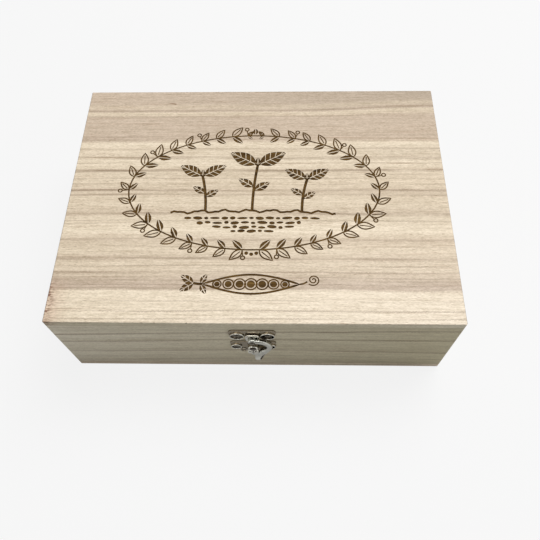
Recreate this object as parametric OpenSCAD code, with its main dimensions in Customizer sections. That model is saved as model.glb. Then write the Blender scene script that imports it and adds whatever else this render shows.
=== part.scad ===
// Wooden seed organizer box: a glued case sawn apart into base and lid, with two butt hinges,
// six compartments and a pressed metal swing-hook latch.
// Front is -Y, up is +Z, and the origin is at the centre of the underside.

/* [Box] */
// Outside width, left to right
box_w = 270; // [220:1:340]
// Outside depth, front to back
box_d = 200; // [150:1:260]
// Outside height with the lid closed
box_h = 80; // [76:1:120]
// Height of the lid, from the saw cut to the top face
lid_h = 28; // [24:1:34]
// Thickness of the four walls and of the lid's rails
wall_t = 9; // [8.5:0.5:14]
// Thickness of the panel glued on top of the lid's rails
top_t = 5; // [4:0.5:6]
// Thickness of the panel glued under the walls
bottom_t = 6; // [4:0.5:9]
// Radius of the four upright corners
corner_r = 1.5; // [0.5:0.1:3]
// Radius of the eased edges round the top and the underside
edge_r = 0.8; // [0.4:0.1:2]
// Wood left outside the rabbet at each end of the front and back walls
rabbet_lap = 4; // [3:0.5:7]
// Thickness of a glue line
glue_gap = 0.05; // [0.02:0.01:0.1]
// Width of the saw cut left between the closed lid and the base
seam_gap = 0.3; // [0.2:0.05:0.6]

/* [Dividers] */
// Thickness of the dividers
divider_t = 5; // [3:0.5:7]
// How far the dividers' top edges lie below the saw cut
divider_drop = 4; // [1:0.5:15]
// Depth of the grooves that hold the dividers' ends
groove_depth = 2.5; // [1.5:0.5:4]
// Clearance beside a divider in its groove or lap
groove_clear = 0.1; // [0.05:0.05:0.3]

/* [Hinges] */
// Width of a hinge along its barrel
hinge_w = 25; // [18:0.5:34]
// From the side of the box to the middle of a hinge
hinge_margin = 50; // [30:1:70]
// From the back face to the hinge line
hinge_inset = 2; // [1.9:0.1:2.3]
// How far the lid opens, in degrees
lid_open = 100; // [90:1:115]
// Extra bevel on each side of the stop groove, in degrees
stop_margin = 1; // [0.5:0.1:2]
// Outer radius of the hinge barrel
knuckle_r = 1.6; // [1.5:0.05:1.8]
// Radius of the hinge pin
hinge_pin_r = 0.75; // [0.6:0.05:0.9]
// Radial play of the pin in the barrel
pin_clear = 0.06; // [0.02:0.01:0.1]
// Radius of the pin's rolled ends
pin_head_r = 1.1; // [1:0.05:1.3]
// Thickness of the pin's rolled ends
pin_head_t = 0.5; // [0.3:0.1:0.8]
// Gap between neighbouring knuckles
knuckle_gap = 0.2; // [0.1:0.05:0.4]
// Room round the barrel in the wood and in the other leaf
barrel_clear = 0.2; // [0.1:0.05:0.3]
// Thickness of a hinge leaf
leaf_t = 0.8; // [0.8:0.1:1.2]
// From the hinge line to the leaf's inner edge
leaf_reach = 6; // [5.6:0.1:6.3]
// Room round a leaf in its mortise
leaf_clear = 0.1; // [0.05:0.05:0.2]
// From the middle of a leaf to each of its screws
leaf_screw_x = 8; // [5:0.5:8.5]
// From the hinge line to a leaf's screws
leaf_screw_y = 3.9; // [3.6:0.1:4.2]
// Radius of a countersunk hinge screw's head
leaf_screw_head_r = 1.4; // [1.2:0.1:1.5]
// Radius of a hinge screw's shank
leaf_screw_r = 0.8; // [0.6:0.05:0.9]
// Length of a hinge screw
leaf_screw_len = 9; // [6:0.5:12]
// Radial room round a screw in its hole
screw_clear = 0.05; // [0.03:0.01:0.1]

/* [Latch plates] */
// Sideways place of the latch from the middle of the box
latch_x = -1.2; // [-20:0.2:20]
// Width of both latch plates
latch_w = 31.2; // [28:0.2:36]
// Thickness of the pressed sheet
sheet_t = 0.9; // [0.7:0.1:1.1]
// Top edge of the lid's plate above the saw cut
plate_top = 17.8; // [17:0.1:18.5]
// Height of the plain band along the top of the lid's plate
band_h = 8; // [7.4:0.1:9]
// Radius of that band's corners
band_corner = 3; // [2:0.1:3.6]
// Between the two screws of the lid's plate
lobe_span = 20.2; // [19.6:0.2:21]
// Height of those screws above the saw cut
lobe_rise = 9.7; // [9:0.1:10]
// Radius of the cup pressed round each of those screws
lobe_r = 5; // [4.4:0.1:5.2]
// Width of the rim of each screw cup
rim_w = 0.8; // [0.5:0.1:0.9]
// Height of that rim above the sheet
rim_t = 1.1; // [0.8:0.1:1.3]
// Width of the tongue that carries the hook
tongue_w = 8.8; // [8:0.1:9]
// How far the tongue stands out from the wood
tongue_rise = 2.6; // [2.4:0.1:3]
// Height of the tongue above its rivet
tongue_head = 4.7; // [4:0.1:5.4]
// Height of the tongue below its rivet
tongue_foot = 3.6; // [3.2:0.1:4]
// Corner radius of the tongue, seen from the front
tongue_corner = 2.8; // [2:0.1:3]
// Radius that rounds the tongue over at the front
tongue_dome = 1.1; // [0.8:0.1:1.5]
// Top edge of the keeper below the saw cut
keeper_top = 1.3; // [0.8:0.1:2]
// Height of the plain band along the top of the keeper
keeper_band_h = 5.6; // [5:0.1:6]
// Radius of that band's corners
keeper_corner = 2.4; // [1.5:0.1:2.4]
// Between the two screws of the keeper
keeper_span = 23.2; // [21:0.2:24]
// Depth of those screws below the saw cut
keeper_screw_drop = 9; // [8.5:0.1:9.5]
// Radius of the keeper's screw cups
keeper_lobe_r = 3.9; // [3.6:0.1:4.2]
// Between the middles of the keeper's lower scallops
scallop_span = 13.8; // [13:0.1:14.5]
// Depth of those scallops below the saw cut
scallop_drop = 15.7; // [15:0.1:16]
// Radius of the lower scallops
scallop_r = 3.2; // [3:0.1:3.5]
// Radius of the round pip pressed in each scallop
pip_r = 1.9; // [1.5:0.1:2.2]
// Height of that pip
pip_h = 0.6; // [0.4:0.1:0.8]
// Depth of the keeper's bottom tip below the saw cut
keeper_foot = 22.2; // [21.5:0.1:23]
// Radius of that tip
keeper_foot_r = 3.4; // [3:0.1:3.8]
// Width of the keeper's beak
beak_w = 7.7; // [7:0.1:8]
// Height of the beak
beak_h = 9.6; // [9:0.1:10]
// Lowest point of the beak below the saw cut
beak_foot = 12.1; // [11.8:0.1:12.5]
// How far the beak stands out from the wood
beak_rise = 5.9; // [5.8:0.1:6.4]
// Corner radius of the beak, seen from the front
beak_corner = 3.4; // [2.5:0.1:3.4]
// Radius that rounds the beak over at the front
beak_dome = 1.5; // [1:0.1:1.8]
// Radius of a latch screw's domed head
plate_screw_head_r = 2.4; // [2:0.1:2.8]
// Height of that head
plate_screw_head_h = 1.2; // [0.8:0.1:1.5]
// Radius of a latch screw's shank
plate_screw_r = 1; // [0.8:0.05:1.2]
// Length of a latch screw under its head
plate_screw_len = 7; // [5:0.5:8]

/* [Latch hook] */
// Height of the hook's rivet above the saw cut
rivet_rise = 6.8; // [6.6:0.1:7.2]
// Radius of the rivet's shank
rivet_r = 1.2; // [1:0.05:1.4]
// Radius of the rivet's domed head
rivet_head_r = 2.1; // [1.9:0.1:2.4]
// Height of that head
rivet_head_h = 1; // [0.7:0.1:1.3]
// Radius of the rivet's flat tail inside the tongue
rivet_tail_r = 1.9; // [1.6:0.1:2.1]
// Thickness of that tail
rivet_tail_t = 0.6; // [0.4:0.1:0.9]
// Radial play of the hook on its rivet
rivet_clear = 0.05; // [0.02:0.01:0.1]
// Thickness of the hook
hook_t = 2.4; // [2:0.1:2.5]
// Gap between the hook and what it turns against
hook_gap = 0.15; // [0.1:0.05:0.2]
// Width of the hook's bowed arm
hook_band = 3.9; // [3.2:0.1:4.2]
// From the rivet's line sideways to the middle of the bow
bow_x = 1.8; // [1.2:0.1:2.2]
// Radius of the hook's eye
hook_eye_r = 3; // [2.6:0.1:3.4]
// Gap between the beak's side and the limb
limb_gap = 0.75; // [0.4:0.05:1]
// Gap between the beak's foot and the hook's jaw
jaw_gap = 0.25; // [0.2:0.05:0.4]
// Width of the jaw under the beak
jaw_w = 4; // [3.5:0.1:4.4]
// From the rivet's line to the middle of the jaw's round tip
jaw_tip = 0.4; // [0:0.1:0.8]
// From the rivet's line to the near side of the thumb tab
tab_left = 0.7; // [0.5:0.1:1.2]
// Width of the thumb tab at its end
tab_w = 5.2; // [4.6:0.1:6]
// Length of the thumb tab below the jaw
tab_drop = 6; // [5:0.1:7]
// Radius of the thumb tab's corners
tab_corner = 1.6; // [1:0.1:2]
// Radius to which the thumb tab curls forward
curl_r = 10; // [8:0.5:16]

/* [Hidden] */
$fn = 72;
wood = [0.87, 0.80, 0.69];
inner_wood = [0.83, 0.75, 0.62];
nickel = [0.76, 0.76, 0.78];
steel = [0.66, 0.67, 0.70];
// Overshoot of a cut past the face it opens
over = 1;
// The same where a longer one would meet something else
sliver = 0.1;

seam_z = box_h - lid_h;
base_top = seam_z - seam_gap / 2;
lid_floor = seam_z + seam_gap / 2;
base_floor = bottom_t + glue_gap;
lid_ceiling = box_h - top_t - glue_gap;
inner_w = box_w - 2 * wall_t;
inner_d = box_d - 2 * wall_t;
divider_top = seam_z - divider_drop;
divider_mid = (base_floor + divider_top) / 2;
cross_x = (inner_w + divider_t) / 6;
groove_w = divider_t + 2 * groove_clear;
hinge_x = box_w / 2 - hinge_margin;
hinge_y = box_d / 2 - hinge_inset;
knuckle_pitch = (hinge_w + knuckle_gap) / 3;
bevel = lid_open / 2 + stop_margin;
pin_bore_r = hinge_pin_r + pin_clear;
rivet_z = seam_z + rivet_rise;
hook_reach = rivet_rise + beak_foot;
bow_r = hook_reach / 2;
bow_out = bow_r + hook_band / 2;
bow_in = bow_r - hook_band / 2;
jaw_in = hook_reach + jaw_gap;
jaw_out = jaw_in + jaw_w;
tab_end = jaw_out + tab_drop;
tab_right = tab_left + tab_w;
hook_back = tongue_rise + hook_gap;
hook_front = hook_back + hook_t;

// General shapes

module rounded_rect(w, h, r) {
    square([w - 2 * r, h], center = true);
    square([w, h - 2 * r], center = true);
    for (side = [-1, 1], end = [-1, 1])
        translate([side * (w / 2 - r), end * (h / 2 - r)]) circle(r);
}

// A block between two corners
module block(low, high) {
    translate(low) cube(high - low);
}

// A plane outline (x, z) that stands out from the front face by a thickness
module stand_out(thickness, from = 0) {
    translate([0, -from, 0]) rotate([90, 0, 0]) linear_extrude(thickness) children();
}

// A pressed form with rounded corners, rounded over at the front
module pressed(w, h, rise, corner, dome) {
    intersection() {
        stand_out(rise) rounded_rect(w, h, corner);
        translate([-w / 2, 0, 0]) rotate([90, 0, 90]) linear_extrude(w) rounded_rect(2 * rise, h, dome);
        translate([0, 0, -h / 2]) linear_extrude(h) rounded_rect(w, 2 * rise, dome);
    }
}

// The hollow behind such a form, one sheet thickness inside it
module pressed_hollow(w, h, rise, corner, dome) {
    translate([0, over / 2, 0])
        pressed(w - 2 * sheet_t, h - 2 * sheet_t, rise - sheet_t + over / 2, corner - sheet_t,
                max(dome - sheet_t, sliver));
}

// Half profile of a domed head, base at the origin
module dome_profile(radius, height) {
    ball_r = (pow(radius, 2) + pow(height, 2)) / (2 * height);
    intersection() {
        translate([0, height - ball_r]) circle(ball_r);
        square([radius, height]);
    }
}

// The closed box as one block, with every outside edge eased
module outer_block() {
    intersection() {
        linear_extrude(box_h) rounded_rect(box_w, box_d, corner_r);
        translate([0, box_d / 2, box_h / 2]) rotate([90, 0, 0])
            linear_extrude(box_d) rounded_rect(box_w, box_h, edge_r);
        translate([-box_w / 2, 0, box_h / 2]) rotate([90, 0, 90])
            linear_extrude(box_w) rounded_rect(box_d, box_h, edge_r);
    }
}

// Wooden case: front and back run the full width and lap over the ends of the sides

// Front or back board between two heights, with a rabbet at each end (y_side is -1 or 1)
module end_board(y_side, low, high) {
    face = box_d / 2;
    difference() {
        intersection() {
            outer_block();
            if (y_side < 0) block([-box_w / 2, -face, low], [box_w / 2, wall_t - face, high]);
            else block([-box_w / 2, face - wall_t, low], [box_w / 2, face, high]);
        }
        for (x_side = [-1, 1])
            translate([x_side * (box_w / 2 + over - (wall_t + glue_gap + over) / 2),
                       y_side * (face - rabbet_lap - wall_t / 2), (low + high) / 2])
                cube([wall_t + glue_gap + over, wall_t, high - low + 2 * over], center = true);
    }
}

// Left or right board between two heights, its ends seated in the rabbets
module side_board(x_side, low, high) {
    reach = box_d / 2 - rabbet_lap - glue_gap;
    translate([x_side * (box_w - wall_t) / 2, 0, (low + high) / 2])
        cube([wall_t, 2 * reach, high - low], center = true);
}

// The bevelled stop groove along the back, seen as a wedge that opens from the hinge line
module stop_groove() {
    far = hinge_inset + over;
    translate([-box_w / 2 - over, hinge_y, seam_z]) rotate([90, 0, 90])
        linear_extrude(box_w + 2 * over)
            polygon([[0, 0], [far, -far * tan(bevel)], [far, far * tan(bevel)]]);
}

// Room for one hinge in the edge of a board: mortise and barrel
module hinge_room() {
    leaf_half = seam_gap / 2 + leaf_t + leaf_clear;
    block([-hinge_w / 2 - leaf_clear, -leaf_reach - leaf_clear, -leaf_half],
          [hinge_w / 2 + leaf_clear, 0, leaf_half]);
    barrel_half = hinge_w / 2 + pin_head_t + barrel_clear;
    translate([-barrel_half, 0, 0]) rotate([0, 90, 0])
        cylinder(r = knuckle_r + barrel_clear, h = 2 * barrel_half);
}

// Everything that the hinges take out of the two back boards
module hinge_cuts() {
    stop_groove();
    at_hinges() {
        hinge_room();
        for (face_side = [-1, 1]) leaf_screw_places(face_side) leaf_screw_hole(leaf_screw_len + over);
    }
}

// Groove in a wall for the end of a divider, open at the top
module divider_groove(x, y, along_x) {
    size = along_x ? [2 * groove_depth, groove_w] : [groove_w, 2 * groove_depth];
    translate([x - size[0] / 2, y - size[1] / 2, 0]) cube([size[0], size[1], seam_z]);
}

module base_front_wall() color(wood) difference() {
    end_board(-1, base_floor, base_top);
    for (side = [-1, 1]) divider_groove(side * cross_x, -inner_d / 2, false);
    at_keeper_screws() plate_screw_hole();
}

module base_back_wall() color(wood) difference() {
    end_board(1, base_floor, base_top);
    for (side = [-1, 1]) divider_groove(side * cross_x, inner_d / 2, false);
    hinge_cuts();
}

module base_side_wall(x_side) color(wood) difference() {
    side_board(x_side, base_floor, base_top);
    divider_groove(x_side * inner_w / 2, 0, true);
}

module base_bottom_panel() color(wood) intersection() {
    outer_block();
    block([-box_w / 2, -box_d / 2, 0], [box_w / 2, box_d / 2, bottom_t]);
}

module lid_top_panel() color(wood) intersection() {
    outer_block();
    block([-box_w / 2, -box_d / 2, box_h - top_t], [box_w / 2, box_d / 2, box_h]);
}

module lid_front_rail() color(wood) difference() {
    end_board(-1, lid_floor, lid_ceiling);
    at_plate_screws() plate_screw_hole();
}

module lid_back_rail() color(wood) difference() {
    end_board(1, lid_floor, lid_ceiling);
    hinge_cuts();
}

module lid_side_rail(x_side) color(wood) side_board(x_side, lid_floor, lid_ceiling);

// Dividers, cross-lapped: the long one is slotted from above, the cross ones from below

module long_divider() {
    half_w = inner_w / 2 + groove_depth - groove_clear;
    color(inner_wood) difference() {
        block([-half_w, -divider_t / 2, base_floor], [half_w, divider_t / 2, divider_top]);
        for (side = [-1, 1])
            translate([side * cross_x - groove_w / 2, -divider_t, divider_mid])
                cube([groove_w, 2 * divider_t, box_h]);
    }
}

module cross_divider(x_side) {
    half_d = inner_d / 2 + groove_depth - groove_clear;
    color(inner_wood) translate([x_side * cross_x, 0, 0]) difference() {
        block([-divider_t / 2, -half_d, base_floor], [divider_t / 2, half_d, divider_top]);
        block([-divider_t, -groove_w / 2, 0], [divider_t, groove_w / 2, divider_mid + groove_clear]);
    }
}

// Butt hinges, drawn about the middle of the hinge line

module at_hinge(x_side) translate([x_side * hinge_x, hinge_y, seam_z]) children();

module at_hinges() for (x_side = [-1, 1]) at_hinge(x_side) children();

// One knuckle of three (index -1, 0 or 1), grown by a room all round
module knuckle(index, radius, room) {
    length = knuckle_pitch - knuckle_gap + 2 * room;
    translate([index * knuckle_pitch - length / 2, 0, 0]) rotate([0, 90, 0]) cylinder(r = radius, h = length);
}

// Screws of one leaf, head outwards; face_side is -1 for the base leaf and 1 for the lid leaf
module leaf_screw_places(face_side) {
    for (side = [-1, 1])
        translate([side * leaf_screw_x, -leaf_screw_y, face_side * seam_gap / 2])
            rotate([face_side < 0 ? 0 : 180, 0, 0]) children();
}

module leaf_screw_hole(depth) {
    radius = leaf_screw_r + screw_clear;
    translate([0, 0, -depth]) cylinder(r = radius, h = depth + sliver);
}

module leaf_countersink() {
    drop = leaf_screw_head_r - leaf_screw_r;
    rotate_extrude() polygon([
        [0, sliver], [leaf_screw_head_r + screw_clear, sliver], [leaf_screw_head_r + screw_clear, 0],
        [leaf_screw_r + screw_clear, -drop], [0, -drop]
    ]);
}

module leaf_screw() {
    drop = leaf_screw_head_r - leaf_screw_r;
    sunk = screw_clear;
    rotate_extrude() polygon([
        [0, -sunk], [leaf_screw_head_r - sunk, -sunk], [leaf_screw_r, -drop - sunk],
        [leaf_screw_r, -leaf_screw_len + 2 * leaf_screw_r], [0, -leaf_screw_len]
    ]);
}

module hinge_leaf(face_side) {
    own = face_side < 0 ? [-1, 1] : [0];
    others = face_side < 0 ? [0] : [-1, 1];
    low = face_side < 0 ? -seam_gap / 2 - leaf_t : seam_gap / 2;
    // The leaf runs into the wall of its knuckles and stops short of the bore
    root = (pin_bore_r + knuckle_r) / 2;
    color(nickel) difference() {
        union() {
            block([-hinge_w / 2, -leaf_reach, low], [hinge_w / 2, -root, low + leaf_t]);
            for (index = own) knuckle(index, knuckle_r, 0);
        }
        for (index = others) knuckle(index, knuckle_r + barrel_clear, knuckle_gap);
        translate([-hinge_w, 0, 0]) rotate([0, 90, 0]) cylinder(r = pin_bore_r, h = 2 * hinge_w);
        leaf_screw_places(face_side) {
            leaf_screw_hole(leaf_t + over);
            leaf_countersink();
        }
    }
}

module hinge_pin() {
    head_z = hinge_w / 2;
    color(steel) rotate([0, 90, 0]) {
        translate([0, 0, -head_z]) cylinder(r = hinge_pin_r, h = 2 * head_z);
        for (end = [-1, 1])
            translate([0, 0, end * (head_z + pin_head_t / 2)])
                cylinder(r = pin_head_r, h = pin_head_t, center = true);
    }
}

module hinge_screws(face_side) color(steel) at_hinges() leaf_screw_places(face_side) leaf_screw();

// Latch plates, drawn on the front face about the latch's middle line at the height of the saw cut

module at_latch() translate([latch_x, -box_d / 2, seam_z]) children();

module at_plate_screws() at_latch()
    for (side = [-1, 1]) translate([side * lobe_span / 2, 0, lobe_rise]) rotate([90, 0, 0]) children();

module at_keeper_screws() at_latch()
    for (side = [-1, 1]) translate([side * keeper_span / 2, 0, -keeper_screw_drop]) rotate([90, 0, 0]) children();

module plate_screw_hole() {
    translate([0, 0, -plate_screw_len - over / 2])
        cylinder(r = plate_screw_r + screw_clear, h = plate_screw_len + over);
}

module plate_screw() {
    seat = sheet_t + screw_clear;
    rotate_extrude() {
        translate([0, seat]) dome_profile(plate_screw_head_r, plate_screw_head_h);
        polygon([
            [0, seat], [plate_screw_r, seat], [plate_screw_r, 2 * plate_screw_r - plate_screw_len],
            [0, -plate_screw_len]
        ]);
    }
}

// Rim of the cup pressed round a screw
module cup_rim(radius) {
    stand_out(sheet_t + rim_t) difference() {
        circle(radius);
        circle(radius - rim_w);
    }
}

module latch_plate() {
    tongue_h = tongue_head + tongue_foot;
    tongue_mid = rivet_rise + (tongue_head - tongue_foot) / 2;
    color(nickel) at_latch() difference() {
        union() {
            stand_out(sheet_t) {
                translate([0, plate_top - band_h / 2]) rounded_rect(latch_w, band_h, band_corner);
                for (side = [-1, 1]) translate([side * lobe_span / 2, lobe_rise]) circle(lobe_r);
            }
            for (side = [-1, 1]) translate([side * lobe_span / 2, 0, lobe_rise]) cup_rim(lobe_r);
            translate([0, 0, tongue_mid])
                pressed(tongue_w, tongue_h, tongue_rise, tongue_corner, tongue_dome);
        }
        translate([0, 0, tongue_mid])
            pressed_hollow(tongue_w, tongue_h, tongue_rise, tongue_corner, tongue_dome);
        translate([0, 0, rivet_rise]) stand_out(tongue_rise + over) circle(rivet_r + rivet_clear);
        for (side = [-1, 1]) translate([side * lobe_span / 2, 0, lobe_rise])
            stand_out(sheet_t + 2 * over, -over) circle(plate_screw_r + screw_clear);
    }
}

module keeper_outline() {
    translate([0, -keeper_top - keeper_band_h / 2]) rounded_rect(latch_w, keeper_band_h, keeper_corner);
    for (side = [-1, 1]) {
        translate([side * keeper_span / 2, -keeper_screw_drop]) circle(keeper_lobe_r);
        translate([side * scallop_span / 2, -scallop_drop]) circle(scallop_r);
    }
    translate([0, keeper_foot_r - keeper_foot]) circle(keeper_foot_r);
    polygon([
        [keeper_span / 2, -keeper_top - sheet_t], [-keeper_span / 2, -keeper_top - sheet_t],
        [-keeper_span / 2, -keeper_screw_drop], [-scallop_span / 2, -scallop_drop],
        [-keeper_foot_r / 2, keeper_foot_r - keeper_foot], [keeper_foot_r / 2, keeper_foot_r - keeper_foot],
        [scallop_span / 2, -scallop_drop], [keeper_span / 2, -keeper_screw_drop]
    ]);
}

module keeper_plate() {
    beak_mid = beak_h / 2 - beak_foot;
    color(nickel) at_latch() difference() {
        union() {
            stand_out(sheet_t) keeper_outline();
            for (side = [-1, 1]) {
                translate([side * keeper_span / 2, 0, -keeper_screw_drop]) cup_rim(keeper_lobe_r);
                translate([side * scallop_span / 2, -sheet_t, -scallop_drop]) rotate([90, 0, 0])
                    rotate_extrude() dome_profile(pip_r, pip_h);
            }
            translate([0, 0, beak_mid]) pressed(beak_w, beak_h, beak_rise, beak_corner, beak_dome);
        }
        translate([0, 0, beak_mid]) pressed_hollow(beak_w, beak_h, beak_rise, beak_corner, beak_dome);
        for (side = [-1, 1]) translate([side * keeper_span / 2, 0, -keeper_screw_drop])
            stand_out(sheet_t + 2 * over, -over) circle(plate_screw_r + screw_clear);
    }
}

// Hook: a bow from the rivet round the beak's side, a jaw under the beak and a curled thumb tab

module hook_outline() {
    throat_x = beak_w / 2 + limb_gap;
    jaw_middle = jaw_in + jaw_w / 2 - sliver;
    bow = [bow_x, -bow_r];
    corner = [tab_right - tab_corner, tab_corner - tab_end];
    // Direction square to the straight edge that runs from the bow down to the tab's corner
    away = corner - bow;
    turn = atan2(away[1], away[0]) + acos((bow_out - tab_corner) / norm(away));
    square_to_edge = [cos(turn), sin(turn)];
    difference() {
        union() {
            difference() {
                union() {
                    intersection() {
                        translate(bow) circle(bow_out);
                        translate([0, -2 * bow_out]) square([2 * bow_out, 3 * bow_out]);
                    }
                    polygon([
                        bow + (bow_out - sliver) * square_to_edge, bow,
                        [jaw_tip, -hook_reach + jaw_w / 2], [jaw_tip, -jaw_middle],
                        [tab_left + sliver, corner[1]], [tab_left + tab_corner, sliver - tab_end],
                        [corner[0], sliver - tab_end], corner + (tab_corner - sliver) * square_to_edge
                    ]);
                    translate([tab_left + tab_corner, corner[1]]) circle(tab_corner);
                    translate(corner) circle(tab_corner);
                    translate([jaw_tip, -jaw_middle]) circle(jaw_w / 2);
                }
                translate(bow) circle(bow_in);
                intersection() {
                    circle(jaw_in);
                    translate([throat_x - 2 * hook_reach, -2 * hook_reach])
                        square([2 * hook_reach, 2 * hook_reach - bow_r]);
                }
            }
            circle(hook_eye_r);
        }
        circle(rivet_r + rivet_clear);
    }
}

// Side profile (y, z) of the hook: flat down to the jaw, then curling forward
module hook_profile() {
    translate([-hook_front, -jaw_out]) square([hook_t, jaw_out + 2 * hook_eye_r]);
    translate([-hook_front - curl_r, -jaw_out]) intersection() {
        difference() {
            circle(curl_r + hook_t);
            circle(curl_r);
        }
        translate([0, -curl_r - hook_t]) square(curl_r + hook_t);
    }
}

module latch_hook() color(nickel) at_latch() translate([0, 0, rivet_rise]) intersection() {
    stand_out(hook_front + curl_r) hook_outline();
    translate([-2 * hook_reach, 0, 0]) rotate([90, 0, 90]) linear_extrude(4 * hook_reach) hook_profile();
}

module latch_rivet() {
    inside = tongue_rise - sheet_t - rivet_clear;
    seat = hook_front + rivet_clear;
    color(steel) at_latch() translate([0, 0, rivet_rise]) rotate([90, 0, 0]) rotate_extrude() {
        translate([0, inside - rivet_tail_t]) square([rivet_tail_r, rivet_tail_t]);
        translate([0, inside - rivet_tail_t]) square([rivet_r, seat - inside + rivet_tail_t]);
        translate([0, seat]) dome_profile(rivet_head_r, rivet_head_h);
    }
}

base_front_wall();
base_back_wall();
base_side_wall(-1);  // base_left_wall
base_side_wall(1);  // base_right_wall
base_bottom_panel();
long_divider();
cross_divider(-1);  // cross_divider_left
cross_divider(1);  // cross_divider_right
lid_top_panel();
lid_front_rail();
lid_back_rail();
lid_side_rail(-1);  // lid_left_rail
lid_side_rail(1);  // lid_right_rail
at_hinge(-1) hinge_leaf(-1);  // hinge_left_base_leaf
at_hinge(-1) hinge_leaf(1);  // hinge_left_lid_leaf
at_hinge(-1) hinge_pin();  // hinge_left_pin
at_hinge(1) hinge_leaf(-1);  // hinge_right_base_leaf
at_hinge(1) hinge_leaf(1);  // hinge_right_lid_leaf
at_hinge(1) hinge_pin();  // hinge_right_pin
hinge_screws(-1);  // hinge_base_screws
hinge_screws(1);  // hinge_lid_screws
latch_plate();
color(steel) at_plate_screws() plate_screw();  // latch_plate_screws
keeper_plate();
color(steel) at_keeper_screws() plate_screw();  // keeper_plate_screws
latch_hook();
latch_rivet();
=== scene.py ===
"""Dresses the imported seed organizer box: streaked wood, a burnt engraving and nickel hardware."""

import math

import bmesh
import bpy
from mathutils import Euler, Matrix, Vector


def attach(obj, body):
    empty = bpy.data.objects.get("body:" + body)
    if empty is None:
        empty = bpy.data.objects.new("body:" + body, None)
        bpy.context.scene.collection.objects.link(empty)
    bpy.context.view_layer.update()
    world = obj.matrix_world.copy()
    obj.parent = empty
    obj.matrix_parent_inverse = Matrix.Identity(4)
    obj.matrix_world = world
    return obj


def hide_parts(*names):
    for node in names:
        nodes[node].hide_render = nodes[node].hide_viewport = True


MM = 0.001

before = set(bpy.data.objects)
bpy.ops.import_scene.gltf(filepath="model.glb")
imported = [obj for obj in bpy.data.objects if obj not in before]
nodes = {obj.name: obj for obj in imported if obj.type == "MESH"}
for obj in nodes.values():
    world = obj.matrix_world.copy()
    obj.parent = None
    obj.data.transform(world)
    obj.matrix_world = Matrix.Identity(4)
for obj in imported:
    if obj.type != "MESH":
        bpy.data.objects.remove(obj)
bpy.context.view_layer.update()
box_width = 270
box_top = 80
wood_front = -100


def linked(name, data):
    """An object with this data, in the scene."""
    made = bpy.data.objects.new(name, data)
    bpy.context.scene.collection.objects.link(made)
    return made


def mesh_of(name, shape):
    """A mesh from a finished bmesh, which is freed."""
    mesh = bpy.data.meshes.new(name)
    shape.to_mesh(mesh)
    shape.free()
    return mesh


def new_piece(name, shape):
    return linked(name, mesh_of(name, shape))


def welded(name, distance):
    """A bmesh of a CAD node, its loose triangles merged within a distance in millimetres."""
    shape = bmesh.new()
    shape.from_mesh(nodes[name].data)
    bmesh.ops.remove_doubles(shape, verts=shape.verts, dist=distance * MM)
    return shape


def paint(mesh, material):
    """Gives a whole mesh one material."""
    mesh.materials.clear()
    mesh.materials.append(material)
    mesh.polygons.foreach_set("material_index", [0] * len(mesh.polygons))


def drawn_out(shape, points, way):
    """A face through the points, drawn out along a vector. Gives the edges round its far end."""
    face = shape.faces.new([shape.verts.new(point) for point in points])
    grown = bmesh.ops.extrude_face_region(shape, geom=[face])["geom"]
    moved = [part for part in grown if isinstance(part, bmesh.types.BMVert)]
    bmesh.ops.translate(shape, verts=moved, vec=way)
    return [part for part in grown if isinstance(part, bmesh.types.BMEdge)]


# Camera

camera_place = Vector((20.99, -240.12, 414.25)) * MM
camera_turn = [math.radians(angle) for angle in (28.1441, 1.3136, 0.9422)]
camera_lens = 38.1157
sensor_width = 36


def make_camera():
    data = bpy.data.cameras.new("camera")
    data.lens = camera_lens
    data.sensor_width = sensor_width
    data.clip_start = 0.01
    data.clip_end = 20
    camera = linked("camera", data)
    camera.location = camera_place
    camera.rotation_euler = Euler(camera_turn, "XYZ")
    bpy.context.scene.camera = camera


# Shader maths: an expression on wires adds its Math nodes


class Wire:
    """One output of a finish's node tree."""

    def __init__(self, finish, socket):
        self.finish = finish
        self.socket = socket

    def maths(self, operation, *values):
        return self.finish.node("ShaderNodeMath", {"operation": operation}, dict(enumerate(values)))

    def __add__(self, other):
        return self.maths("ADD", self, other)

    def __sub__(self, other):
        return self.maths("SUBTRACT", self, other)

    def __rsub__(self, other):
        return self.maths("SUBTRACT", other, self)

    def __mul__(self, other):
        return self.maths("MULTIPLY", self, other)

    def __truediv__(self, other):
        return self.maths("DIVIDE", self, other)

    __radd__ = __add__
    __rmul__ = __mul__

    def size(self):
        return self.maths("ABSOLUTE", self)

    def root(self):
        return self.maths("SQRT", self)

    def larger(self, other):
        return self.maths("MAXIMUM", self, other)

    def folded(self, span):
        """Runs up to the span and back down again, over and over."""
        return self.maths("PINGPONG", self, span)

    def between(self, low, high):
        """0 at low and below, 1 at high and above, eased in between."""
        settings = {"interpolation_type": "SMOOTHSTEP"}
        values = {"Value": self, "From Min": low, "From Max": high}
        return self.finish.node("ShaderNodeMapRange", settings, values)


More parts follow.
